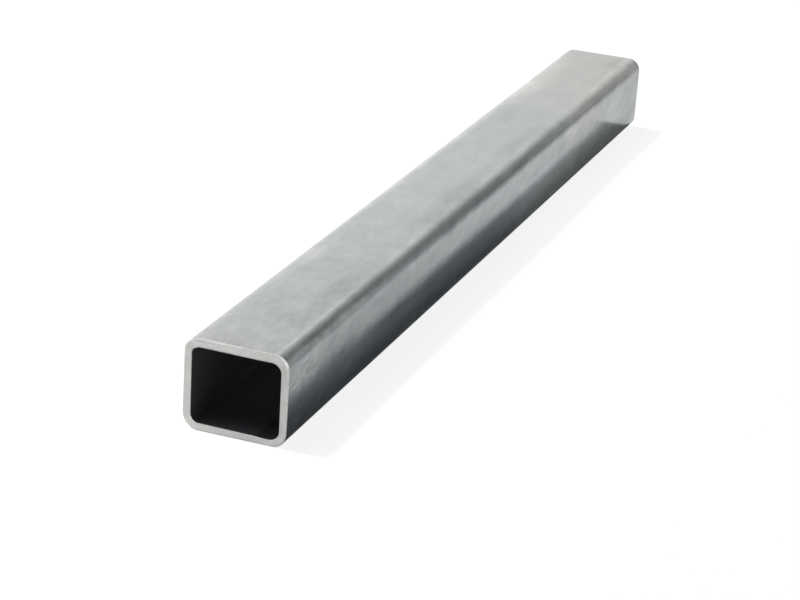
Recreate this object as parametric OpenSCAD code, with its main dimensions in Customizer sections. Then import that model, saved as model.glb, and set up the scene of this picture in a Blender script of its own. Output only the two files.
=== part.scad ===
// Short length of cold drawn rectangular steel tube, lying on one of its wider faces.
// The tube runs along Y. The origin is on the floor, under the middle of the tube.

/* [Section] */
// Width of the tube, across the face that it lies on
width = 40; // [25:1:80]
// Height of the tube
height = 35; // [25:1:80]
// Thickness of the wall
wall = 3; // [1.5:0.25:5]
// Radius of the four outer corners
outer_radius = 5.5; // [1:0.5:9]
// Radius of the four corners of the bore
inner_radius = 3; // [0.5:0.5:6]

/* [Length] */
// Length between the two sawn ends
length = 450; // [50:10:6000]
// Depth of the small chamfer that takes the burr off each sawn edge
deburr = 0.3; // [0.1:0.05:0.6]

/* [Hidden] */
$fn = 96;

bore_width = width - 2 * wall;
bore_height = height - 2 * wall;
// How far the cutter of the bore stands out of each end
overrun = 1;

// One side of a long bar, seen from above, at the distance reach from its middle line.
// A positive break narrows the bar at both ends, and a negative one flares it.
function long_edge(reach, len, end_break) = [
    [reach - end_break, -len / 2],
    [reach, -len / 2 + abs(end_break)],
    [reach, len / 2 - abs(end_break)],
    [reach - end_break, len / 2]
];

// The same side on the left of the middle line, listed backwards to close the outline.
function mirrored_edge(edge) = [for (i = [len(edge) - 1:-1:0]) [-edge[i].x, edge[i].y]];

// Flat slab along Y whose end edges are broken on its two long sides.
module slab(across, thickness, len, end_break) {
    edge = long_edge(across / 2, len, end_break);
    linear_extrude(height = thickness, center = true)
        polygon(concat(edge, mirrored_edge(edge)));
}

// Round post along Y whose two ends are broken all round.
module corner_post(radius, len, end_break) {
    rotate([-90, 0, 0])
        rotate_extrude()
            polygon(concat([[0, -len / 2]], long_edge(radius, len, end_break), [[0, len / 2]]));
}

// Bar of rounded rectangular section along Y: two crossed slabs and a post in each corner.
module rounded_bar(w, h, radius, len, end_break) {
    slab(w, h - 2 * radius, len, end_break);
    rotate([0, 90, 0])
        slab(h, w - 2 * radius, len, end_break);
    for (side = [-1, 1], level = [-1, 1])
        translate([side * (w / 2 - radius), 0, level * (h / 2 - radius)])
            corner_post(radius, len, end_break);
}

// The tube: the bar less its bore, with the sawn edges broken inside and outside.
module tube() {
    color("silver")
        translate([0, 0, height / 2])
            difference() {
                rounded_bar(width, height, outer_radius, length, deburr);
                rounded_bar(bore_width, bore_height, inner_radius, length + 2 * overrun, -(deburr + overrun));
            }
}

tube();
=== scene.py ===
# %% [markdown]
# # A short length of cold drawn steel tube
#
# The real object is one piece of stock: a rectangular tube, drawn cold through a die and over a
# plug, then sawn to length. Drawing leaves a smooth, bright skin with faint lines along the tube
# and soft clouds where the drawing soap was. Sawing leaves plain, matt ends with edges that were
# filed by hand. A dark film stays in the bore.
#
# This lesson dresses the engineering model of that tube. The sizes come from the model, and
# Blender adds what a solid can't hold: small irregularities, and the finish of each surface.

# %% Load the frame
import math

import bmesh
import bpy
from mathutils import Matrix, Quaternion, Vector, noise


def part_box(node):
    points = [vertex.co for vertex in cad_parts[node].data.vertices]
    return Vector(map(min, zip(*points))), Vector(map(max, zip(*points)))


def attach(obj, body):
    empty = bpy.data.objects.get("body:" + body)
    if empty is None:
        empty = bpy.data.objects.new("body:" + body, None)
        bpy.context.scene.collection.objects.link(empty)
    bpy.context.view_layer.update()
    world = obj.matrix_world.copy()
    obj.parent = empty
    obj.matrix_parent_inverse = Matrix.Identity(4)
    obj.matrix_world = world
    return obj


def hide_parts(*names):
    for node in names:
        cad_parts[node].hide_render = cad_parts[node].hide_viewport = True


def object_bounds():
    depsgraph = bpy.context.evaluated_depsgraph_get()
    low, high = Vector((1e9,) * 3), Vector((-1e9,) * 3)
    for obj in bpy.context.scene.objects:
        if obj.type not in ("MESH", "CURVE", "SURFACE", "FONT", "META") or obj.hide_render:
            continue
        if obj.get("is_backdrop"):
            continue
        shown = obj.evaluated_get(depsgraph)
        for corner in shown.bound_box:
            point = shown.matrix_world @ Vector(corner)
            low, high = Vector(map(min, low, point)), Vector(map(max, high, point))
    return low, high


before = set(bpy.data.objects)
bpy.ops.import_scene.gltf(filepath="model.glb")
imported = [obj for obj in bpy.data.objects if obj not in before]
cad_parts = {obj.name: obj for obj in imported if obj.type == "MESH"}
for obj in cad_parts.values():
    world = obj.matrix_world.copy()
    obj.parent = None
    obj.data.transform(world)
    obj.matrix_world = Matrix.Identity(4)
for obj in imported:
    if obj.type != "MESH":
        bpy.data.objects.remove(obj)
cad_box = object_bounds()
tube_low, tube_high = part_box("tube")
middle = (tube_low + tube_high) / 2
width, length, height = tube_high - tube_low
MM = 0.001
print(f"tube: {width / MM:.1f} x {height / MM:.1f} mm, {length / MM:.0f} mm long")

# %% [markdown]
# ## The camera
#
# Long stock is photographed with a long lens from above one end, so that the sawn end, the top
# and one side all show. A camera is a place and three angles: how far it turns round the tube,
# how far it looks down, and the slight roll of a camera that isn't quite level. `to_track_quat`
# turns the direction behind the camera into a rotation, and the roll is applied after it.

# %% Camera
CAMERA_PLACE = Vector((0.31654, -0.95606, 0.36134))
CAMERA_TURN = math.radians(19.418)
CAMERA_PITCH = math.radians(20.983)
CAMERA_ROLL = math.radians(3.947)
LENS_MM = 111.135
SENSOR_MM = 36
NEAREST_SEEN = 0.01


def link(name, data):
    """Puts a new object with this data into the scene."""
    made = bpy.data.objects.new(name, data)
    bpy.context.scene.collection.objects.link(made)
    return made


def aim(made, backwards, roll=0.0):
    """Turns a camera or lamp so that its back points along a direction."""
    made.rotation_mode = "QUATERNION"
    made.rotation_quaternion = backwards.to_track_quat("Z", "Y") @ Quaternion((0, 0, 1), roll)


def add_camera():
    """A camera that looks along the tube from its front right."""
    data = bpy.data.cameras.new("camera")
    data.lens = LENS_MM
    data.sensor_width = SENSOR_MM
    data.clip_start = NEAREST_SEEN
    camera = link("camera", data)
    camera.location = CAMERA_PLACE
    level = math.cos(CAMERA_PITCH)
    backwards = Vector((
        math.sin(CAMERA_TURN) * level, -math.cos(CAMERA_TURN) * level, math.sin(CAMERA_PITCH),
    ))
    aim(camera, backwards, CAMERA_ROLL)
    bpy.context.scene.camera = camera


add_camera()
bpy.context.scene.view_settings.view_transform = "Standard"
print(f"camera: {LENS_MM:.0f} mm lens, {math.degrees(CAMERA_PITCH):.0f} degrees above the tube")

# %% [markdown]
# ## Shader maths as arithmetic
#
# Each finish below is a sum of simple patterns. Such a sum is hard to read as boxes and wires, so
# `Value` wraps one socket and lets Python's own operators add the Math nodes. The reflected
# operators are there too, so that `1 - mask` works as well as `mask - 1`.

# %% Values
class Value:
    """A socket that can be used in arithmetic."""

    def __init__(self, graph, socket):
        self.graph = graph
        self.socket = socket

    def output(self, name):
        """Another output of the same node."""
        return Value(self.graph, self.socket.node.outputs[name])

    def __add__(self, other):
        return self.graph.math("ADD", self, other)

    def __radd__(self, other):
        return self.graph.math("ADD", other, self)

    def __sub__(self, other):
        return self.graph.math("SUBTRACT", self, other)

    def __rsub__(self, other):
        return self.graph.math("SUBTRACT", other, self)

    def __mul__(self, other):
        return self.graph.math("MULTIPLY", self, other)

    def __rmul__(self, other):
        return self.graph.math("MULTIPLY", other, self)

    def __truediv__(self, other):
        return self.graph.math("DIVIDE", self, other)

    def __rtruediv__(self, other):
        return self.graph.math("DIVIDE", other, self)


print("values: plus, minus, times and divided by each add a Math node")

# %% [markdown]
# `Graph` adds every other node with one method: its type, its settings, and the values or links
# of its sockets. Most patterns start and stop softly, so the step that it makes is a smooth one.
# A Mix node has sockets of the same names for each kind of value, so the ones for colours are
# picked by number.

# %% Graphs
MIX_FIRST, MIX_SECOND, MIX_RESULT = 6, 7, 2


class Graph:
    """The node tree of a material or of the world."""

    def __init__(self, owner):
        owner.use_nodes = True
        self.tree = owner.node_tree
        self.tree.nodes.clear()

    def node(self, kind, inputs, output=0, **settings):
        """Adds a node: first its settings, then its inputs by name or number."""
        made = self.tree.nodes.new(kind)
        for name, value in settings.items():
            setattr(made, name, value)
        for key, value in inputs.items():
            if isinstance(value, Value):
                self.tree.links.new(value.socket, made.inputs[key])
            else:
                made.inputs[key].default_value = value
        return Value(self, made.outputs[output]) if made.outputs else None

    def math(self, operation, *values):
        """A Math node."""
        return self.node("ShaderNodeMath", dict(enumerate(values)), operation=operation)

    def place(self):
        """The point's place on the object, in metres."""
        return self.node("ShaderNodeTexCoord", {}, output="Object")

    def axes(self, vector):
        """The three numbers of a vector."""
        split = self.node("ShaderNodeSeparateXYZ", {"Vector": vector}, output="X")
        return split, split.output("Y"), split.output("Z")

    def ramp(self, value, low, high, at_low=0.0, at_high=1.0):
        """A smooth step from at_low to at_high while the value goes from low to high."""
        inputs = {
            "Value": value, "From Min": low, "From Max": high, "To Min": at_low, "To Max": at_high,
        }
        return self.node("ShaderNodeMapRange", inputs, interpolation_type="SMOOTHSTEP")

    def mix(self, factor, first, second):
        """A colour between two colours."""
        inputs = {"Factor": factor, MIX_FIRST: first, MIX_SECOND: second}
        return self.node("ShaderNodeMix", inputs, MIX_RESULT, data_type="RGBA")

    def finish(self, surface):
        """Ends the graph in this shader."""
        self.node("ShaderNodeOutputMaterial", {"Surface": surface})


def rgb(red, green, blue):
    """An opaque colour."""
    return (red, green, blue, 1.0)


print("graphs: any node with its settings, and colours between two colours")

# %% [markdown]
# ## Light
#
# Bright steel shows what stands round it more than its own colour, so the room is half of the
# finish. This one is a white studio with a tall dark screen behind the tube on the right. The
# screen draws the dark line along the rounded edge, as a photographer's black card does, and its
# soft borders make the line's soft sides. A second one stands across the room for the other side.
#
# The world gives each kind of ray its own light. The camera sees plain white. Mirrored rays see
# the studio and its screens, whose place comes from how far a ray turns to the right. Matt
# surfaces get four narrow beams instead, two that slant down into each end of the tube, and a
# weak glow round them. These reach into the bore and still leave the shadow on the floor deep.

# %% World
STUDIO_WHITE = 0.9
SCREEN_DARK = 0.25
SCREEN_LEFT = math.radians(-18)
SCREEN_MIDDLE = math.radians(23)
SCREEN_RIGHT = math.radians(43)
SCREEN_TOP = (0.85, 0.55)
END_LIGHT = Vector((0.20, 0.95, 0.22)).normalized()
BEAM = (math.radians(3), math.radians(10))
BEAM_STRENGTH = 5.0
GLOW = (math.radians(15), math.radians(45))
GLOW_STRENGTH = 0.04


def light_the_world():
    """A white studio with two dark screens, and beams into both ends of the tube."""
    world = bpy.data.worlds.new("studio")
    bpy.context.scene.world = world
    graph = Graph(world)
    x, y, z = graph.axes(graph.node("ShaderNodeTexCoord", {}, output="Generated"))
    turn = graph.math("ARCTANGENT", x / y)
    screen = graph.ramp(turn, SCREEN_LEFT, SCREEN_MIDDLE)
    screen = screen * graph.ramp(turn, SCREEN_MIDDLE, SCREEN_RIGHT, 1.0, 0.0)
    screen = screen * graph.ramp(z, *SCREEN_TOP)
    mirrored = STUDIO_WHITE - (STUDIO_WHITE - SCREEN_DARK) * screen
    facing = END_LIGHT.x * graph.math("ABSOLUTE", x) + END_LIGHT.y * graph.math("ABSOLUTE", y)
    apart = graph.math("ARCCOSINE", facing + END_LIGHT.z * z)
    beam = graph.ramp(apart, *BEAM, 1.0, 0.0)
    glow = graph.ramp(apart, *GLOW, 1.0, 0.0)
    rays = graph.node("ShaderNodeLightPath", {}, output="Is Camera Ray")
    plain = graph.math("MAXIMUM", rays, rays.output("Is Transmission Ray"))
    glossy = rays.output("Is Glossy Ray")
    matt = BEAM_STRENGTH * beam + GLOW_STRENGTH * glow
    strength = plain + (1 - plain) * (glossy * mirrored + (1 - glossy) * matt)
    light = graph.node("ShaderNodeBackground", {"Color": rgb(1, 1, 1), "Strength": strength})
    graph.node("ShaderNodeOutputWorld", {"Surface": light})


light_the_world()
print(f"world: studio {STUDIO_WHITE}, screens {SCREEN_DARK}")

# %% [markdown]
# The lamp stands far off on the left, square to the tube. It lights the floor and casts the
# tube's shadow to the right, and the side of the tube mirrors that shadow: this is why the lower
# half of the side is dark. One distant lamp has one width, so two share a place: a bright middle
# and a wide, weaker border, which softens the shadow's far edge. Both stay out of the mirrored
# rays, so that they make no glare on the rough steel of the end.

# %% Lamp
LAMP_HEIGHT = math.radians(61.5)
LAMPS = {"lamp_middle": (1.95, 6), "lamp_border": (1.05, 40)}


def add_lamp(name, strength, degrees_wide):
    """A distant lamp on the left."""
    data = bpy.data.lights.new(name, "SUN")
    data.energy = strength
    data.angle = math.radians(degrees_wide)
    lamp = link(name, data)
    aim(lamp, Vector((-math.cos(LAMP_HEIGHT), 0, math.sin(LAMP_HEIGHT))))
    lamp.visible_glossy = False


for name, (strength, degrees_wide) in LAMPS.items():
    add_lamp(name, strength, degrees_wide)
print(f"lamp: {math.degrees(LAMP_HEIGHT):.0f} degrees above the floor")

# %% [markdown]
# ## Floor
#
# The floor is pale paper. To the camera it is mixed with a white glow, which keeps the background
# white and the shadow visible. The steel mirrors the paper without that glow. The paper's colour
# also holds painted light: it is a little darker away from the tube, a painted pool of light that
# fades, and lighter on the lamp's side, which keeps the outline of the left rounding pale.

# %% Floor
FLOOR_SIZE = 8.0
PAPER_NEAR = rgb(0.73, 0.73, 0.73)
PAPER_PAINTED_DIM = rgb(0.48, 0.48, 0.48)
PAPER_PAINTED_LIT = rgb(0.92, 0.92, 0.92)
POOL_INNER = 0.040
POOL_OUTER = 0.16
GLOW_SHARE = 0.68
FLOOR_GLOW = 1.27


def add_floor():
    """A pale floor that looks white to the camera and keeps the tube's shadow."""
    shape = bmesh.new()
    bmesh.ops.create_grid(shape, x_segments=1, y_segments=1, size=FLOOR_SIZE / 2)
    data = bpy.data.meshes.new("floor")
    shape.to_mesh(data)
    shape.free()
    material = bpy.data.materials.new("floor_paper")
    graph = Graph(material)
    across = graph.axes(graph.place())[0]
    away = graph.ramp(graph.math("ABSOLUTE", across), POOL_INNER, POOL_OUTER)
    # Painted light: the paper is darker away from the tube and lighter on the lamp's side.
    pool = graph.mix(away, PAPER_NEAR, PAPER_PAINTED_DIM)
    pool = graph.mix(graph.ramp(across, 0.0, -POOL_INNER), pool, PAPER_PAINTED_LIT)
    paper = graph.node("ShaderNodeBsdfDiffuse", {"Color": pool})
    glow = graph.node("ShaderNodeEmission", {"Color": rgb(1, 1, 1), "Strength": FLOOR_GLOW})
    seen = graph.node("ShaderNodeLightPath", {}, output="Is Camera Ray")
    graph.finish(graph.node("ShaderNodeMixShader", {0: GLOW_SHARE * seen, 1: paper, 2: glow}))
    data.materials.append(material)
    link("floor", data)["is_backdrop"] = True


add_floor()
print(f"floor: {FLOOR_SIZE:.0f} m square")

# %% [markdown]
# ## The section, measured on the model
#
# The wall, the two corner radii and the filed edge all come from the engineering model, so the
# dressed tube follows it if a size changes. A ray from the middle finds the bore. A flat face
# ends where its rounding starts, so the farthest model point on a flat gives the radius.

# %% Measure the section
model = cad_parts["tube"]
model_points = [vertex.co for vertex in model.data.vertices]
CLOSE = 1e-6


def bore_reach(direction):
    """How far the bore's wall is from the middle, in one direction."""
    hit = model.ray_cast(middle, direction)[1]
    return (hit - middle).length


def flat_end(right):
    """How far the flat at this distance on the right reaches up from the middle."""
    return max(p.z - middle.z for p in model_points if abs(p.x - middle.x - right) < CLOSE)


bore_width = 2 * bore_reach((1, 0, 0))
bore_height = 2 * bore_reach((0, 0, 1))
wall = (width - bore_width) / 2
outer_radius = height / 2 - flat_end(width / 2)
inner_radius = bore_height / 2 - flat_end(bore_width / 2)
filed = tube_high.x - max(p.x for p in model_points if abs(p.y - tube_low.y) < CLOSE)
print(f"bore {bore_width / MM:.1f} x {bore_height / MM:.1f} mm, wall {wall / MM:.1f} mm")
print(f"radii {outer_radius / MM:.2f} and {inner_radius / MM:.2f} mm, "
      f"edges filed by {filed / MM:.2f} mm")

# %% [markdown]
# ## Two sleeves
#
# The tube is an outer and an inner sleeve, joined at both ends. An outline could be extruded too,
# but then every point of its roundings has to be worked out first. So each sleeve starts as a
# box: Bevel rounds its four long edges, and the two caps are deleted. The edges are rounded one
# at a time, because the corners of drawn steel are never quite alike: the plug wears, and steel
# flows more easily into one corner than into the next. The tables give each corner's radius as a
# share of the model's, by its quarter of the section: left or right, low or high.

# %% Sleeves
ROUNDING_STEPS = 14
SKIN_CORNERS = {(-1, 1): 0.95, (1, 1): 1.04, (-1, -1): 1.2, (1, -1): 0.94}
BORE_CORNERS = {(-1, 1): 0.72, (1, 1): 1.23, (-1, -1): 1.05, (1, -1): 1.17}
DRAWN_OUT = 2.0
STRAIGHT = 0.99
NEARLY = 0.9
SHARP = 1.0


def runs_along(edge, axis):
    """True if the edge runs along that axis."""
    step = edge.verts[1].co - edge.verts[0].co
    return abs(getattr(step, axis)) > STRAIGHT * step.length


def side_of(point):
    """Which quarter of the section a point is in: left or right, low or high."""
    return (1 if point.x > middle.x else -1, 1 if point.z > middle.z else -1)


def add_sleeve(shape, across, along, up, radius, corners):
    """An open box along Y with rounded long edges. Returns its faces."""
    before = set(shape.faces)
    box = bmesh.ops.create_cube(shape, size=1)["verts"]
    bmesh.ops.scale(shape, vec=(across, along, up), verts=box)
    bmesh.ops.translate(shape, vec=middle, verts=box)
    for quarter, share in corners.items():
        long_edge = [
            e for e in shape.edges
            if e.calc_length() > NEARLY * along and side_of(e.verts[0].co) == quarter
            and e.link_faces[0] not in before and e.calc_face_angle() > SHARP
        ]
        bmesh.ops.bevel(
            shape, geom=long_edge, offset=radius * share, segments=ROUNDING_STEPS, profile=0.5,
            affect="EDGES", material=-1,
        )
    faces = [f for f in shape.faces if f not in before]
    caps = [f for f in faces if abs(f.normal.y) > NEARLY]
    bmesh.ops.delete(shape, geom=caps, context="FACES_ONLY")
    return [f for f in shape.faces if f not in before]


shape = bmesh.new()
skin = add_sleeve(shape, width, length, height, outer_radius, SKIN_CORNERS)
bore = add_sleeve(
    shape, bore_width, length * DRAWN_OUT, bore_height, inner_radius, BORE_CORNERS
)
print(f"sleeves: {len(skin)} faces outside and {len(bore)} in the bore")

# %% [markdown]
# ## Rings and filed edges
#
# Bridge Loops joins the sleeves with a flat ring at each end. It pairs the points of two loops by
# the way that leads from one loop to the other, and two loops in one plane give it no such way.
# So the bore was made twice as long, and it is pushed back to length once the rings are there.
#
# The rings' four rims are then bevelled. On the real tube that is the file's work. A light line
# could be painted there instead, but a real narrow face catches the light by itself, from every
# side. The bevel comes before the cuts along the tube, while each rim edge has one long face
# beside it to slide on.

# %% Rings and rims
SKIN, SAWN, FILED, BORE = range(4)
RIM_STEPS = 2


def end_edges(faces, end):
    """The open edges of a sleeve at one place along the tube."""
    open_edges = [e for f in faces for e in f.edges if e.is_boundary]
    return [e for e in open_edges if all(abs(v.co.y - end) < CLOSE for v in e.verts)]


rims = []
for face in bore:
    face.material_index = BORE
for side in (-1, 1):
    outer = end_edges(skin, middle.y + side * length / 2)
    inner = end_edges(bore, middle.y + side * length / 2 * DRAWN_OUT)
    for face in bmesh.ops.bridge_loops(shape, edges=outer + inner)["faces"]:
        face.material_index = SAWN
    rims += outer + inner
bore_points = list(dict.fromkeys(v for f in bore for v in f.verts))
bmesh.ops.scale(shape, vec=(1, 1 / DRAWN_OUT, 1), verts=bore_points)
bmesh.ops.recalc_face_normals(shape, faces=shape.faces)
bmesh.ops.bevel(
    shape, geom=rims, offset=filed, segments=RIM_STEPS, profile=0.5, affect="EDGES",
    material=FILED, loop_slide=True,
)
print(f"rings and rims: {len(shape.faces)} faces in all")

# %% [markdown]
# ## Strips and stations
#
# So far a flat is one face from end to end, and nothing on it could bend. Subdivide Edges cuts it
# into strips across and up the section, and into stations along the tube. Each call takes all the
# edges that run one way, and the roundings keep the steps that Bevel gave them.

# %% Cuts across the flats and along the tube
STRIPS_ACROSS = 30
STRIPS_UP = 25
STATIONS = 90


def cut(axis, longer_than, strips):
    """Cuts every long edge that runs along an axis into equal strips."""
    edges = [e for e in shape.edges if runs_along(e, axis) and e.calc_length() > longer_than]
    bmesh.ops.subdivide_edges(shape, edges=edges, cuts=strips - 1, use_grid_fill=True)


cut("x", width / 2, STRIPS_ACROSS)
cut("z", height / 2, STRIPS_UP)
cut("y", length / 2, STATIONS)
print(f"tube: {len(shape.verts)} points, {len(shape.faces)} faces")

# %% [markdown]
# ## What hands and machines leave
#
# A drawn face isn't a perfect plane, the plug that forms the bore drifts a little off the middle,
# and a file doesn't run straight. Each point is moved by what its place says. The skin and the
# filed edges only ever move into the steel or along the tube, and the bore moves by less than its
# wall is thick, so the tube never grows out of its model.
#
# First comes a measure of where a point is: the way straight out of the rounded section, and how
# deep below its surface the point lies.

# %% Where a point is in a rounded section
def way_out(point, across, up, radius, corners):
    """The way straight out of a rounded section at a point, and the point's depth below it."""
    quarter = side_of(point)
    turned = radius * corners[quarter]
    right = max(abs(point.x - middle.x) - (across / 2 - turned), 0)
    high = max(abs(point.z - middle.z) - (up / 2 - turned), 0)
    offset = Vector((right * quarter[0], 0, high * quarter[1]))
    return offset.normalized(), turned - offset.length


def waver(point, per_metre):
    """Smooth noise from 0 to 1."""
    return 0.5 + 0.5 * noise.noise(Vector(point) * per_metre)


def smooth_step(value, low, high):
    """A smooth step from 0 to 1 while the value goes from low to high."""
    share = max(0.0, min(1.0, (value - low) / (high - low)))
    return share * share * (3 - 2 * share)


top_left = Vector((tube_low.x, tube_low.y, tube_high.z))
depth = way_out(top_left, width, height, outer_radius, SKIN_CORNERS)[1]
print(f"the rounding passes {-depth / MM:.1f} mm inside the box's top left corner")

# %% [markdown]
# The file leaned on the near end's top edge towards the left. Its band grows to about three times
# the model's width there and fades out round the corner. It also pressed on the right edge, where
# the band is about twice as wide. Everywhere else it wavers. A wider band is the same cut made
# larger from the sharp corner that it took off, so both of its distances, below the skin and from
# the end, grow alike.

# %% How wide the file cut
RIM_WAVER = 0.45
RIM_GRAIN = 700
LEANED = 1.9
LEANED_FROM = 0.25
LEANED_TO = -0.35
CORNER_FROM = -0.38
CORNER_TO = -0.50
PRESSED = 0.9
PRESSED_FROM = 0.40
PRESSED_TO = 0.48


def cut_wider(point):
    """How much wider than the model's edge the file cut here, as a share."""
    wider = RIM_WAVER * waver(point, RIM_GRAIN)
    across = (point.x - middle.x) / width
    if point.y < middle.y and point.z > middle.z + height / 2 - wall:
        leaned = smooth_step(across, LEANED_FROM, LEANED_TO)
        wider += LEANED * leaned * smooth_step(across, CORNER_TO, CORNER_FROM)
    if point.y < middle.y:
        wider += PRESSED * smooth_step(across, PRESSED_FROM, PRESSED_TO)
    return wider


print(f"the file cut up to {filed * (1 + RIM_WAVER + LEANED) / MM:.1f} mm wide")

# %% [markdown]
# The bore's four corners have drifted by up to 0.6 mm, and every other point of the bore follows
# them in proportion. The table gives each corner's way to the right and up, in millimetres. Near
# the lower right corner the plug also pressed a shallow dent along the whole length.

# %% How far the bore drifted
BORE_DRIFT = {
    (-1, 1): (-0.17, -0.62),
    (1, 1): (0.05, -0.48),
    (-1, -1): (0.14, -0.1),
    (1, -1): (0.25, -0.53),
}
DENT = 0.15 * MM
DENT_PLACE = 11.5 * MM
DENT_REACH = 4 * MM


def drift(point):
    """How far the bore's wall moved at a point near it."""
    right = (point.x - middle.x) / (bore_width / 2)
    high = (point.z - middle.z) / (bore_height / 2)
    moved = Vector((0, 0, 0))
    for (side, level), (x, z) in BORE_DRIFT.items():
        share = (1 + side * right) / 2 * (1 + level * high) / 2
        moved += Vector((x, 0, z)) * MM * share
    if high < 0:
        inside_dent = DENT_REACH - abs(point.x - middle.x - DENT_PLACE)
        moved.z -= DENT * smooth_step(inside_dent, 0, DENT_REACH)
    return moved


farthest = max(math.hypot(*way) for way in BORE_DRIFT.values())
print(f"the bore's corners drifted by up to {farthest:.1f} mm")

# %% [markdown]
# Now each point is moved by what it touches. A point of the skin alone sinks by a few hundredths
# of a millimetre, in long waves. A point of the bore takes part in its drift, and so do those of
# its rims and of the ring beside it, up to the middle of the wall. A point of a filed edge goes
# deeper into the steel and farther from the end, by the share that its cut is wider.

# %% Move the points
SKIN_WAVE = 0.03 * MM
WAVES = (42, 28, 42)


def move(vertex, touching):
    """Moves a point by what its surfaces say."""
    point = vertex.co.copy()
    near = point.y < middle.y
    from_end = point.y - tube_low.y if near else tube_high.y - point.y
    out, depth = way_out(point, width, height, outer_radius, SKIN_CORNERS)
    if depth > wall / 2:
        out, depth = way_out(point, bore_width, bore_height, inner_radius, BORE_CORNERS)
        vertex.co += drift(point)
    if touching == {SKIN}:
        place = [value * scale for value, scale in zip(point, WAVES)]
        vertex.co -= out * SKIN_WAVE * waver(place, 1)
    elif FILED in touching:
        wider = cut_wider(point)
        vertex.co -= out * depth * wider
        vertex.co.y += from_end * wider * (1 if near else -1)


kinds = {}
for face in shape.faces:
    for vertex in face.verts:
        kinds.setdefault(vertex, set()).add(face.material_index)
for vertex, touching in kinds.items():
    move(vertex, touching)
print(f"moved {len(kinds)} points")

# %% [markdown]
# Smooth shading hides the steps of the roundings, with far fewer faces than it would take to make
# them truly round. It would also smear the light round the filed edges, so an edge where two
# kinds of surface meet is kept sharp: the saw, the file and the plug each leave a clear line.

# %% Finish the mesh
for edge in shape.edges:
    edge.smooth = len({f.material_index for f in edge.link_faces}) == 1
bmesh.ops.recalc_face_normals(shape, faces=shape.faces)
data = bpy.data.meshes.new("drawn_tube")
shape.to_mesh(data)
shape.free()
for polygon in data.polygons:
    polygon.use_smooth = True
tube = link("drawn_tube", data)
print(f"drawn_tube: {len(data.polygons)} faces")

# %% [markdown]
# ## Patterns for the finishes
#
# A steel surface has blotches, bands and patches of many sizes. They could be painted as one
# picture, but a picture is flat and bound to one size. Patterns made from the point's own place
# fit every side. `Finish` is a graph with a few more methods for them, and with an end in bare
# metal, which three of the four finishes use.

# %% Patterns
class Finish(Graph):
    """A material's graph, with the patterns that its finish is made of."""

    def vector(self, operation, first, second):
        """A Vector Math node."""
        return self.node("ShaderNodeVectorMath", {0: first, 1: second}, operation=operation)

    def noise(self, place, per_metre, detail=2.0, output="Fac", shift=0.0):
        """Noise from 0 to 1, with so many blotches to the metre along X, Y and Z."""
        scaled = self.node(
            "ShaderNodeMapping", {"Vector": place, "Scale": per_metre, "Location": (shift,) * 3}
        )
        inputs = {"Vector": scaled, "Scale": 1.0, "Detail": detail}
        return self.node("ShaderNodeTexNoise", inputs, output)

    def wander(self, place, per_metre, reach):
        """The place, pushed about by noise, so that what is drawn on it has uneven edges."""
        push = self.vector("SUBTRACT", self.noise(place, per_metre, output="Color"), (0.5,) * 3)
        return self.vector("ADD", place, self.shade(push, 2 * reach))

    def hump(self, value, centre, reach):
        """1 where the value is at the centre, fading to 0 at this reach on both sides."""
        return self.ramp(self.math("ABSOLUTE", value - centre), 0.0, reach, 1.0, 0.0)

    def patch(self, place, centre, reach):
        """1 at the centre, fading to 0 at the ends of a soft ellipsoid, given in millimetres."""
        offset = self.vector("SUBTRACT", place, Vector(centre) * MM)
        away = self.vector("DIVIDE", offset, Vector(reach) * MM)
        far = self.node("ShaderNodeVectorMath", {0: away}, "Value", operation="LENGTH")
        return self.ramp(far, 0.0, 1.0, 1.0, 0.0)

    def shade(self, colour, tone):
        """A colour made lighter or darker by a number."""
        inputs = {0: colour, "Scale": tone}
        return self.node("ShaderNodeVectorMath", inputs, operation="SCALE")

    def bump(self, relief, depth):
        """A bumped normal, where a rise of the relief by 1 is this deep in metres."""
        return self.node("ShaderNodeBump", {"Height": relief, "Distance": depth})

    def metal(self, colour, roughness, normal):
        """Ends the graph in bare metal."""
        inputs = {"Base Color": colour, "Roughness": roughness, "Normal": normal, "Metallic": 1.0}
        self.finish(self.node("ShaderNodeBsdfPrincipled", inputs))


print("patterns: noise, humps and patches, all from a point's own place")
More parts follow.
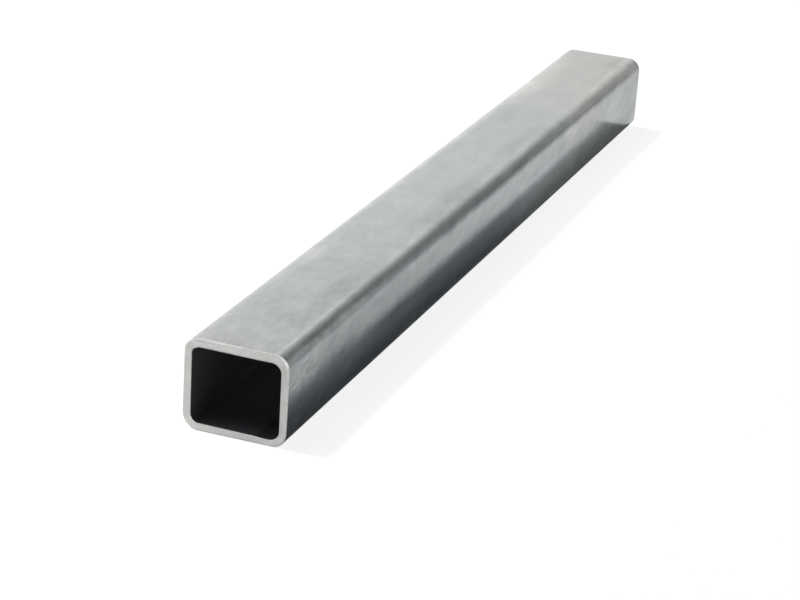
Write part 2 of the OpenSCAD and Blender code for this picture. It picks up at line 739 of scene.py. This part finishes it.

# %% [markdown]
# ## The drawn skin
#
# The skin is bare metal under thin traces of drawing soap and handling. Its colour is a cool
# grey near the sawn end in front and warmer behind. Painted light and shade lie over it as well,
# where the steel mirrors light and dark.
#
# Soft patches are listed with their place and reach in millimetres, how much lighter they are,
# and how much warmer. Some are marks of the skin; many of those on the sides and roundings are
# painted light and shade. The place is pushed about by noise first, so no patch looks round.

# %% Patches on the skin
# Partly painted: many patches on the sides and roundings are painted light and shade.
PATCHES_AND_PAINTED_LIGHT = (
    ((-16, 155, 35), (12, 85, 8), 0.33, 0.4),
    ((4, 205, 35), (10, 22, 6), -0.05, 0.2),
    ((-16, -60, 35), (12, 200, 8), 0.05, 0.0),
    ((-14, -215, 35), (9, 35, 6), 0.08, 0.3),
    ((11, -35, 35), (8, 75, 6), -0.22, 0.0),
    ((11, 60, 35), (7, 50, 6), -0.12, 0.0),
    ((10.5, -160, 35), (8, 70, 6), -0.19, 0.1),
    ((18, 160, 33), (6, 150, 6), 0.32, 0.1),
    ((0, -226, 35), (30, 22, 10), -0.07, 0.6),
    ((-8, 95, 35), (7, 25, 6), -0.05, 0.0),
    ((20, 88, 24.5), (7, 28, 8), -0.12, 0.1),
    ((20, 107, 25), (7, 9, 7), 0.08, 0.5),
    ((20, 180, 26), (7, 30, 6), 0.05, -0.4),
    ((20, 219, 27), (7, 12, 6), -0.10, 0.3),
    ((20, -210, 25), (6, 26, 9), 0.10, 0.5),
    ((-17.5, 0, 34), (4.5, 400, 7), 0.40, 0.8),
    ((20, 85, 15), (7, 120, 9), 0.46, 0.0),
    ((20, 130, 27), (7, 120, 8), 0.0, 0.5),
    ((20, -185, 20), (7, 40, 5), -0.16, 0.0),
    ((20, 0, 6), (7, 110, 5), -0.26, 0.5),
    ((20, -150, 12), (7, 80, 5), 0.20, 0.2),
    ((10, 210, 35), (7, 18, 6), -0.20, 0.0),
    ((-13, -130, 35), (4, 60, 6), 0.20, 0.4),
    ((8, 40, 35), (8, 20, 6), -0.08, 0.0),
    ((16, -105, 34.5), (4, 35, 3), 0.14, 0.0),
    ((16, 20, 34), (3.5, 70, 3), 0.18, 0.0),
    ((20, 145, 17), (7, 35, 6), 0.28, 0.0),
    ((20, 110, 28), (7, 14, 5), 0.17, 0.0),
    ((20, -135, 29), (7, 15, 4), 0.10, 0.0),
    ((4, -190, 35), (5, 12, 5), -0.10, 0.0),
    ((18.5, 212, 33), (4, 24, 5), 0.26, 0.0),
    ((17.5, 112, 33.5), (3, 26, 3), 0.14, 0.0),
    ((13.5, 190, 35), (2.2, 45, 3), 0.12, 0.5),
    ((-3, 106, 35), (12, 26, 6), 0.0, -1.2),
    ((13, 112, 35), (4, 25, 4), 0.0, 0.5),
    ((19.4, -140, 31.2), (2.5, 90, 2.4), 0.24, 0.0),
    ((17.8, -190, 33.4), (2, 60, 2), -0.20, 0.0),
    ((18.8, 45, 32), (2, 38, 2.5), -0.16, 0.0),
    ((20, 45, 19.5), (7, 85, 4), 0.26, 0.0),
    ((20, 207, 9), (7, 20, 5), -0.22, 0.0),
    ((20, -100, 13), (7, 30, 3), 0.18, 0.0),
    ((19.2, -212, 31), (2.5, 30, 2.2), 0.14, 0.0),
    ((20, 172, 13.5), (7, 24, 5), 0.28, 0.0),
    ((20, -180, 19), (7, 35, 3), -0.10, 0.0),
)


def patches(graph, place):
    """The sums of what the patches add to the tone and to the warmth."""
    lighter = 0.0
    warmer = 0.0
    for centre, reach, more_light, more_warmth in PATCHES_AND_PAINTED_LIGHT:
        mask = graph.patch(place, centre, reach)
        lighter = lighter + more_light * mask
        warmer = warmer + more_warmth * mask
    return lighter, warmer


print(f"skin: {len(PATCHES_AND_PAINTED_LIGHT)} patches")

# %% [markdown]
# Some patterns are used for the tone, the colour and the gloss alike, so they are made once: the
# clouds, a centimetre across and two along the tube, the broader and the smeared marks of hands
# and rags, and the scratched place on the side near the sawn end. Hands and rags seldom move
# straight along the tube, so the place that smears and scratches are drawn on is turned by a
# slant. On both sides, `side` is 1, and it fades to 0 on the roundings.
#
# Each step along the tube is written as the places where it starts and stops, and then, where
# they aren't 0 and 1, as its values there. These places count from the tube's middle, in metres.

# %% Patterns that the skin's properties share
PATCH_WANDER = (90, 45, 90)
PATCH_WANDER_REACH = 3.5 * MM
CLOUDS = {"per_metre": (110, 55, 110), "detail": 4}
BROAD = {"per_metre": (38, 20, 38), "detail": 2, "shift": 5.0}
SMEARS = {"per_metre": (300, 70, 300), "detail": 4, "shift": 7.0}
SCRATCHES = {"per_metre": (650, 60, 800), "detail": 4, "shift": 2.0}
SLANT = math.radians(28)
SLANT_AXIS = (1.0, 0.0, 1.0)
SIDE_FROM = width / 2 - 1.2 * MM
SIDE_TO = width / 2 - 0.1 * MM
SMEARS_ALONG = (0.12, -0.10, 0.25, 1.0)
SCRATCH_CONTRAST = (0.46, 0.66)
SCRATCHED_PLACE = (20, -212, 23.5)
SCRATCHED_REACH = (6, 34, 9)


class SkinPatterns:
    """The patterns that the skin's tone, colour and gloss share."""

    def __init__(self, graph):
        self.place = graph.place()
        self.right, self.along, self.up = graph.axes(self.place)
        self.across = graph.math("ABSOLUTE", self.right)
        self.moved = graph.wander(self.place, PATCH_WANDER, PATCH_WANDER_REACH)
        self.lighter, self.warmer = patches(graph, self.moved)
        self.side = graph.ramp(self.across, SIDE_FROM, SIDE_TO)
        self.clouds = graph.noise(self.place, **CLOUDS)
        self.broad = graph.noise(self.place, **BROAD)
        slanted = graph.node(
            "ShaderNodeVectorRotate", {"Vector": self.place, "Axis": SLANT_AXIS, "Angle": -SLANT}
        )
        self.smears = graph.noise(slanted, **SMEARS)
        self.handled = graph.ramp(self.along, *SMEARS_ALONG)
        scratches = graph.ramp(graph.noise(slanted, **SCRATCHES), *SCRATCH_CONTRAST)
        self.scratched = scratches * graph.patch(self.place, SCRATCHED_PLACE, SCRATCHED_REACH)


print(f"smears and scratches slant by {math.degrees(SLANT):.0f} degrees")

# %% [markdown]
# Two painted marks run along the tube near its upper edges. A painted highlight, a light line,
# lies on the top beside the right rounding, near the sawn end. Painted shade, a darker band, lies
# on both roundings, and it fades out towards that end. A hump of the height or of the way across
# makes each mark, and steps end it.

# %% Painted highlight and shade along the upper edges
HIGHLIGHT_PLACE = 15.2 * MM
HIGHLIGHT_REACH = 1.3 * MM
HIGHLIGHT_UP = (33 * MM, 34.5 * MM)
HIGHLIGHT_ALONG = (-0.13, -0.17)
SHADE_BAND_HEIGHT = 30.8 * MM
SHADE_BAND_REACH = 2.3 * MM
SHADE_BAND_ACROSS = (18 * MM, 19 * MM)
SHADE_BAND_ALONG = (-0.14, 0.0)


def painted_highlight_line(graph, skin):
    """A painted highlight: a light line on the top, beside the right rounding."""
    line = graph.hump(skin.right, HIGHLIGHT_PLACE, HIGHLIGHT_REACH) * graph.ramp(skin.up, *HIGHLIGHT_UP)
    return line * graph.ramp(skin.along, *HIGHLIGHT_ALONG)


def painted_shade_band(graph, skin):
    """Painted shade: a darker band on the two upper roundings."""
    soap = graph.hump(skin.up, SHADE_BAND_HEIGHT, SHADE_BAND_REACH) * graph.ramp(skin.across, *SHADE_BAND_ACROSS)
    return soap * graph.ramp(skin.along, *SHADE_BAND_ALONG)


# The places of the painted highlight and of the painted shade band.
print(f"line {HIGHLIGHT_PLACE / MM:.1f} mm right of the middle, soap {SHADE_BAND_HEIGHT / MM:.1f} mm up")

# %% [markdown]
# The tone is how light the skin is, where 1 is its colour as written. It starts with a slow rise
# along the tube. On the sides the rise is steeper, and that part is painted shade in front and
# painted light behind. To this come the patches, the painted highlight line, the scratches and the
# painted shade band, and then each noise around its own middle, so that it darkens as much as it
# lightens: the clouds, strongest on the sides and roundings, a fine mottling that grows towards the
# near end, the broad marks, faint streaks along the tube, the smears, which are strongest in front
# on the top and behind on the sides, and speckles at the sawn end.

# %% Tone of the skin
TOP_ALONG = (-0.25, 0.25, 0.975, 1.01)
SIDE_PAINTED_LIGHT_ALONG = (-0.2, 0.1, 0.79, 1.12)
HIGHLIGHT_TONE = 0.16
SCRATCH_TONE = 0.55
SHADE_BAND_TONE = 0.24
CLOUD_TONE = 0.24
CLOUD_TONE_SIDE = 0.16
CLOUD_TONE_ROUNDED = 0.2
ROUNDED_UP = (28 * MM, 30 * MM)
ROUNDED_ACROSS = (13 * MM, 16 * MM)
MOTTLING = {"per_metre": (320, 160, 320), "detail": 4, "shift": 9.0}
MOTTLING_ALONG = (0.0, -0.2, 0.05, 0.3)
BROAD_TONE = 0.10
STREAKS = {"per_metre": (420, 7, 420), "detail": 3}
STREAK_TONE = 0.05
SMEAR_TONE = 0.17
SMEAR_TONE_SIDE = (0.10, -0.20, 0.60, 0.16)
SPECKLES = {"per_metre": (900, 500, 900), "detail": 2}
SPECKLES_ALONG = (-0.185, -0.215)
SPECKLE_TONE = 0.24


def skin_tone(graph, skin):
    """How light the skin is."""
    tone = graph.ramp(skin.along, *TOP_ALONG) + skin.lighter
    # Painted shade in front and painted light behind: the sides' tone rises along the tube.
    tone = tone + skin.side * (graph.ramp(skin.along, *SIDE_PAINTED_LIGHT_ALONG) - 1)
    tone = tone + HIGHLIGHT_TONE * painted_highlight_line(graph, skin) - SHADE_BAND_TONE * painted_shade_band(graph, skin)
    tone = tone + SCRATCH_TONE * skin.scratched
    rounded = graph.ramp(skin.up, *ROUNDED_UP) * graph.ramp(skin.across, *ROUNDED_ACROSS)
    clouded = CLOUD_TONE + CLOUD_TONE_SIDE * skin.side + CLOUD_TONE_ROUNDED * rounded
    tone = tone + clouded * (skin.clouds - 0.5)
    mottled = graph.ramp(skin.along, *MOTTLING_ALONG)
    tone = tone + mottled * (graph.noise(skin.place, **MOTTLING) - 0.5)
    tone = tone + BROAD_TONE * (skin.broad - 0.5)
    tone = tone + STREAK_TONE * (graph.noise(skin.place, **STREAKS) - 0.5)
    smeared = SMEAR_TONE * skin.handled + skin.side * graph.ramp(skin.along, *SMEAR_TONE_SIDE)
    tone = tone + smeared * (skin.smears - 0.5)
    speckled = SPECKLE_TONE * graph.ramp(skin.along, *SPECKLES_ALONG)
    return tone + speckled * (graph.noise(skin.place, **SPECKLES) - 0.5)


print(f"tone: clouds {CLOUD_TONE}, smears {SMEAR_TONE}, scratches {SCRATCH_TONE}")

# %% [markdown]
# The colour lies between a cool and a warm grey. The far part of the top is warm, and the same
# noises as above carry the two colours into each other. The border between them follows the
# clouds. Low down on the near half, the sides are painted darker and bluer: painted shade, which
# deepens the shadow that they mirror.

# %% Colour of the skin
COOL_STEEL = rgb(0.485, 0.517, 0.521)
WARM_STEEL = rgb(0.531, 0.524, 0.507)
SIDE_STEEL = rgb(0.475, 0.520, 0.530)
PAINTED_LOW_SHADE_STEEL = rgb(0.365, 0.415, 0.450)
WARM_ALONG = (0.08, 0.16)
WARM_BORDER_REACH = 0.12
WARM_LESS_ON_SIDE = 0.8
BROAD_WARMTH = 0.9
CLOUD_WARMTH = 1.1
SMEAR_WARMTH = 1.1
SCRATCH_WARMTH = 0.6
LOW_SHADE_UP = (22 * MM, 13 * MM)
LOW_SHADE_ALONG = (0.05, 0.0)


def skin_colour(graph, skin):
    """The skin's colour before its tone."""
    border = skin.along + WARM_BORDER_REACH * (skin.clouds - 0.5)
    behind = graph.ramp(border, *WARM_ALONG) * (1 - WARM_LESS_ON_SIDE * skin.side)
    warmth = behind + skin.warmer + BROAD_WARMTH * (skin.broad - 0.5)
    warmth = warmth + CLOUD_WARMTH * (skin.clouds - 0.5)
    warmth = warmth + SMEAR_WARMTH * skin.handled * (skin.smears - 0.5)
    warmth = warmth + SCRATCH_WARMTH * skin.scratched
    cool = graph.mix(skin.side, COOL_STEEL, SIDE_STEEL)
    moved_up = graph.axes(skin.moved)[2]
    # Painted shade: low down on the near half, the sides are darker and bluer.
    painted_low_shade = skin.side * graph.ramp(moved_up, *LOW_SHADE_UP) * graph.ramp(skin.along, *LOW_SHADE_ALONG)
    return graph.mix(painted_low_shade, graph.mix(warmth, cool, WARM_STEEL), PAINTED_LOW_SHADE_STEEL)


print("colour: cool steel in front, warm steel behind, oil low on the sides")

# %% [markdown]
# The gloss is high, as on all bright drawn steel. It is a little duller in the clouds, in the
# scratches, near the front end, on the far half of the top and at the far end of the sides. The
# die's lines are about a thousandth of a millimetre deep, and they blur what the skin mirrors
# across the tube but not along it.

# %% Drawn skin
SKIN_ROUGHNESS = 0.085
CLOUD_ROUGHNESS = 0.05
SCRATCH_ROUGHNESS = 0.12
DULL_TOP = 0.16
DULL_TOP_ALONG = (-0.03, 0.10)
DULL_NEAR = 0.07
DULL_NEAR_ALONG = (-0.10, -0.19)
DULL_SIDE = 0.09
DULL_SIDE_ALONG = (0.14, 0.21)
DIE_LINES = {"per_metre": (1800, 14, 1800), "detail": 2}
DIE_RELIEF = 0.0012 * MM


def skin_roughness(graph, skin):
    """How dull the skin is."""
    worn = DULL_TOP * graph.ramp(skin.along, *DULL_TOP_ALONG) * (1 - skin.side)
    worn = worn + DULL_NEAR * graph.ramp(skin.along, *DULL_NEAR_ALONG)
    worn = worn + DULL_SIDE * skin.side * graph.ramp(skin.along, *DULL_SIDE_ALONG)
    return SKIN_ROUGHNESS + CLOUD_ROUGHNESS * skin.clouds + worn + SCRATCH_ROUGHNESS * skin.scratched


def drawn_skin():
    """Smooth, cold drawn steel."""
    material = bpy.data.materials.new("drawn_skin")
    graph = Finish(material)
    skin = SkinPatterns(graph)
    colour = graph.shade(skin_colour(graph, skin), skin_tone(graph, skin))
    relief = graph.bump(graph.noise(skin.place, **DIE_LINES), DIE_RELIEF)
    graph.metal(colour, skin_roughness(graph, skin), relief)
    return material


data.materials.append(drawn_skin())
print(f"drawn_skin: {len(data.materials[SKIN].node_tree.nodes)} nodes")

# %% [markdown]
# ## Sawn ends
#
# The saw leaves a matt grey face with a fine grain and hardly any gloss. Coarser mottling lies
# over the grain. The lower and upper walls are painted a little lighter than the rest, as painted
# light.

# %% Sawn steel
SAWN_DARK = rgb(0.60, 0.605, 0.585)
SAWN_LIGHT = rgb(0.70, 0.70, 0.68)
SAW_GRAIN = {"per_metre": (1200, 1200, 1200), "detail": 3}
SAW_MOTTLING = {"per_metre": (260, 260, 260), "detail": 5}
SAWN_TONE = 0.80
MOTTLING_TONE = 0.44
LOWER_WALL_PAINTED_LIGHT = (6 * MM, 2 * MM, 0.0, 0.10)
UPPER_WALL_PAINTED_LIGHT = (31 * MM, 33 * MM, 0.0, 0.05)
SAWN_ROUGHNESS = 0.42
SAW_GRAIN_ROUGHNESS = 0.1
SAW_RELIEF = 0.01 * MM


def sawn_steel():
    """The matt face of the cut."""
    material = bpy.data.materials.new("sawn_steel")
    graph = Finish(material)
    place = graph.place()
    up = graph.axes(place)[2]
    grain = graph.noise(place, **SAW_GRAIN)
    tone = SAWN_TONE + MOTTLING_TONE * graph.noise(place, **SAW_MOTTLING)
    # Painted light: the lower and upper walls of the end are lighter.
    tone = tone + graph.ramp(up, *LOWER_WALL_PAINTED_LIGHT) + graph.ramp(up, *UPPER_WALL_PAINTED_LIGHT)
    colour = graph.shade(graph.mix(grain, SAWN_DARK, SAWN_LIGHT), tone)
    roughness = SAWN_ROUGHNESS + SAW_GRAIN_ROUGHNESS * grain
    graph.metal(colour, roughness, graph.bump(grain, SAW_RELIEF))
    return material


data.materials.append(sawn_steel())
print(f"sawn_steel: {len(data.materials[SAWN].node_tree.nodes)} nodes")

# %% [markdown]
# ## Filed edges
#
# The file leaves brighter steel, lighter and darker by turns. In four places on the near end it
# bit to clean metal, and these are painted near white, partly as painted highlights where the
# edge catches the light. They are listed by place and reach in millimetres, and the grain breaks
# them up into bright specks.

# %% Filed steel
FILED_DARK = rgb(0.62, 0.62, 0.61)
FILED_LIGHT = rgb(0.90, 0.895, 0.88)
CLEAN_METAL_AND_GLINT = rgb(0.97, 0.97, 0.96)
FILE_GRAIN = {"per_metre": (1500, 1500, 1500), "detail": 3}
FILE_STROKES = {"per_metre": (450, 450, 450), "detail": 3, "shift": 3.0}
STROKE_CONTRAST = (0.3, 0.7)
SPECK_CONTRAST = (0.35, 0.6)
FILED_ROUGHNESS = 0.3
FILE_GRAIN_ROUGHNESS = 0.2
FILE_RELIEF = 0.015 * MM
BRIGHT_CUTS_AND_GLINTS = (
    ((18.9, -225, 31.5), (1.6, 1.5, 3.2)),
    ((-16.9, -225, 16.2), (0.8, 0.8, 0.7)),
    ((-16.7, -225, 7), (1, 1, 4)),
    ((8, -225, 2.8), (5, 1, 1)),
)


def filed_edge():
    """The bright cut of the file."""
    material = bpy.data.materials.new("filed_edge")
    graph = Finish(material)
    place = graph.place()
    grain = graph.noise(place, **FILE_GRAIN)
    strokes = graph.ramp(graph.noise(place, **FILE_STROKES), *STROKE_CONTRAST)
    colour = graph.mix(0.5 * grain + 0.5 * strokes, FILED_DARK, FILED_LIGHT)
    # Clean metal and painted highlights: four places on the near end are near white.
    for centre, reach in BRIGHT_CUTS_AND_GLINTS:
        specks = graph.patch(place, centre, reach) * graph.ramp(grain, *SPECK_CONTRAST)
        colour = graph.mix(specks, colour, CLEAN_METAL_AND_GLINT)
    roughness = FILED_ROUGHNESS + FILE_GRAIN_ROUGHNESS * grain
    graph.metal(colour, roughness, graph.bump(grain, FILE_RELIEF))
    return material


data.materials.append(filed_edge())
print(f"filed_edge: {len(data.materials[FILED].node_tree.nodes)} nodes")

# %% [markdown]
# ## The bore
#
# The bore keeps a dark, dull film of scale and oil. Dark metal would still mirror the white
# studio at a low angle, so this isn't metal: its light comes from the film's own colour. That
# colour holds painted light: it is darkest near the mouths and pales deeper in. The lower right
# corner is painted darker, as painted shade.

# %% Bore film
FILM_AT_MOUTH = rgb(0.085, 0.088, 0.097)
FILM_DEEP_PAINTED_LIGHT = rgb(0.27, 0.28, 0.308)
FILM_GRAIN = {"per_metre": (200, 60, 200), "detail": 3}
FILM_PAINTED_LIGHT_DEPTHS = (4 * MM, 80 * MM)
FILM_UNEVEN = 0.1
CORNER_ACROSS = (7.5 * MM, 9.5 * MM)
CORNER_UP = (7 * MM, 5 * MM)
CORNER_PAINTED_SHADE = 0.45
FILM_ROUGHNESS = 0.6
FILM_GRAIN_ROUGHNESS = 0.1
FILM_GLOSS = 0.2
FILM_RELIEF = 0.01 * MM


def bore_film():
    """The dark film inside."""
    material = bpy.data.materials.new("bore_film")
    graph = Finish(material)
    place = graph.place()
    right, along, up = graph.axes(place)
    grain = graph.noise(place, **FILM_GRAIN)
    # Painted shade: the lower right corner of the bore is darker.
    corner = graph.ramp(right, *CORNER_ACROSS) * graph.ramp(up, *CORNER_UP)
    from_mouth = length / 2 - graph.math("ABSOLUTE", along)
    # Painted light: the film pales deeper in, and the grain adds unevenness.
    deep = graph.ramp(from_mouth, *FILM_PAINTED_LIGHT_DEPTHS) + FILM_UNEVEN * (grain - 0.5)
    colour = graph.shade(graph.mix(deep, FILM_AT_MOUTH, FILM_DEEP_PAINTED_LIGHT), 1 - CORNER_PAINTED_SHADE * corner)
    inputs = {
        "Base Color": colour, "Roughness": FILM_ROUGHNESS + FILM_GRAIN_ROUGHNESS * grain,
        "Specular IOR Level": FILM_GLOSS, "Normal": graph.bump(grain, FILM_RELIEF),
    }
    graph.finish(graph.node("ShaderNodeBsdfPrincipled", inputs))
    return material


data.materials.append(bore_film())
print("materials:", ", ".join(material.name for material in data.materials))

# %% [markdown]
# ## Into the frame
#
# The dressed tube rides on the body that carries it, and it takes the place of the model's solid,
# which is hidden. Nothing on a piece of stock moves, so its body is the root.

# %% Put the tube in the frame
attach(tube, "root")
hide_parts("tube")
print("drawn_tube rides on root in place of tube")

# %% [markdown]
# The last step writes down the model's box and the dressed tube's box. The two should agree,
# because everything above took steel away or stayed inside it.

# %% Sizes
visual_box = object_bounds()
apart = max((dressed - solid).length for dressed, solid in zip(visual_box, cad_box))
print(f"the corners of the two boxes are {apart / MM:.2f} mm apart at most")
